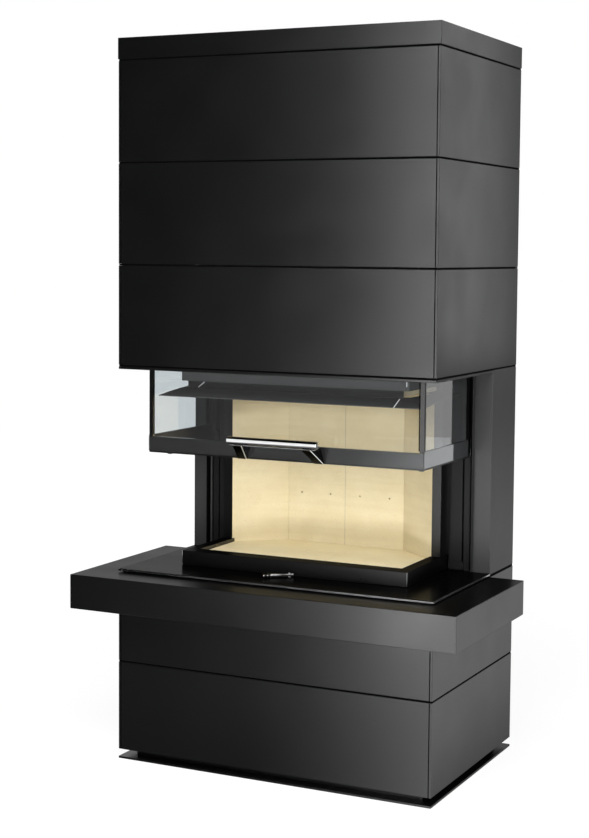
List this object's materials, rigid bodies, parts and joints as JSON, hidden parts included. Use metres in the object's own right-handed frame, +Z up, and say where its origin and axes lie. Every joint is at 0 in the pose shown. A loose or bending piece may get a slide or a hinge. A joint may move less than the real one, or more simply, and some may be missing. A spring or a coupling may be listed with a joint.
{
  "type": "heat storage fireplace",
  "caption": "Tall heat storage fireplace in dark cladding, with a projecting bench, a clay-lined firebox and a lifting wraparound glass door.",
  "frame": {"origin": "on the floor, in the middle of the footprint, bench included", "axes": "+Z up; the front with the door faces -Y; +X is on the viewer's right"},
  "size_m": [1.21, 0.749, 2.121],
  "materials": {
    "paint": "fine satin texture",
    "black_steel": "satin black",
    "hearth_gloss": "gloss black",
    "clay": "matte cream",
    "storage_clay": "rough grey brown",
    "glass": "clear",
    "chrome": "polished",
    "bare_steel": "brushed",
    "weight_iron": "cast"
  },
  "bodies": {
    "fireplace": {"air_box": "black_steel", "air_spigot": "bare_steel", "back_panel": "paint", "baffle_rail": "black_steel", "base_frame": "black_steel", "base_plate": "paint", "bench_slab": "paint", "clay_back_left": "clay", "clay_back_right": "clay", "clay_baffle": "clay", "clay_floor": "clay", "clay_side_left": "clay", "clay_side_right": "clay", "column_left": "paint", "column_right": "paint", "deflector": "black_steel", "door_guide_left": "black_steel", "door_guide_right": "black_steel", "firebox_body": "black_steel", "firebox_tray": "black_steel", "flue_pipe": "bare_steel", "hearth_plate": "hearth_gloss", "lower_front_panel_1": "paint", "lower_front_panel_2": "paint", "lower_left_panel_1": "paint", "lower_left_panel_2": "paint", "lower_right_panel_1": "paint", "lower_right_panel_2": "paint", "plinth_frame": "black_steel", "smoke_hood": "black_steel", "storage_ring_1": "storage_clay", "storage_ring_2": "storage_clay", "top_cap": "paint", "tower_bottom_plate": "paint", "tower_frame": "black_steel", "tower_front_panel_1": "paint", "tower_front_panel_2": "paint", "tower_front_panel_3": "paint", "tower_left_panel_1": "paint", "tower_left_panel_2": "paint", "tower_left_panel_3": "paint", "tower_right_panel_1": "paint", "tower_right_panel_2": "paint", "tower_right_panel_3": "paint"},
    "door": {"door_frame": "black_steel", "front_pane": "glass", "side_pane_left": "glass", "side_pane_right": "glass", "carriage_left": "black_steel", "carriage_right": "black_steel", "handle_bar": "chrome", "handle_leg_left": "bare_steel", "handle_leg_right": "bare_steel"},
    "left_weight": {"counterweight_left": "weight_iron"},
    "right_weight": {"counterweight_right": "weight_iron"},
    "shaft": {"lift_shaft": "bare_steel"},
    "air_control": {"air_lever": "chrome", "air_valve": "bare_steel"}
  },
  "joints": [
    {"name": "door_lift", "type": "slide", "parent": "fireplace", "child": "door", "axis": [0, 0, 1], "range_m": [-0.326, 0.172]},
    {"name": "left_weight_slide", "type": "slide", "parent": "fireplace", "child": "left_weight", "axis": [0, 0, 1], "range_m": [-0.173, 0.327]},
    {"name": "right_weight_slide", "type": "slide", "parent": "fireplace", "child": "right_weight", "axis": [0, 0, 1], "range_m": [-0.173, 0.327]},
    {"name": "shaft_turn", "type": "hinge", "parent": "fireplace", "child": "shaft", "pos_m": [0, 0.2198, 1.96], "axis": [1, 0, 0], "range_deg": [-198, 375]},
    {"name": "air_lever_turn", "type": "hinge", "parent": "fireplace", "child": "air_control", "pos_m": [0.007, -0.1605, 0.5715], "axis": [0, 0, 1], "range_deg": [0, 102]}
  ],
  "couplings": [
    {"joint": "left_weight_slide", "follows": "door_lift", "ratio": -1},
    {"joint": "right_weight_slide", "follows": "door_lift", "ratio": -1},
    {"joint": "shaft_turn", "follows": "door_lift", "rad_per_m": -20}
  ]
}
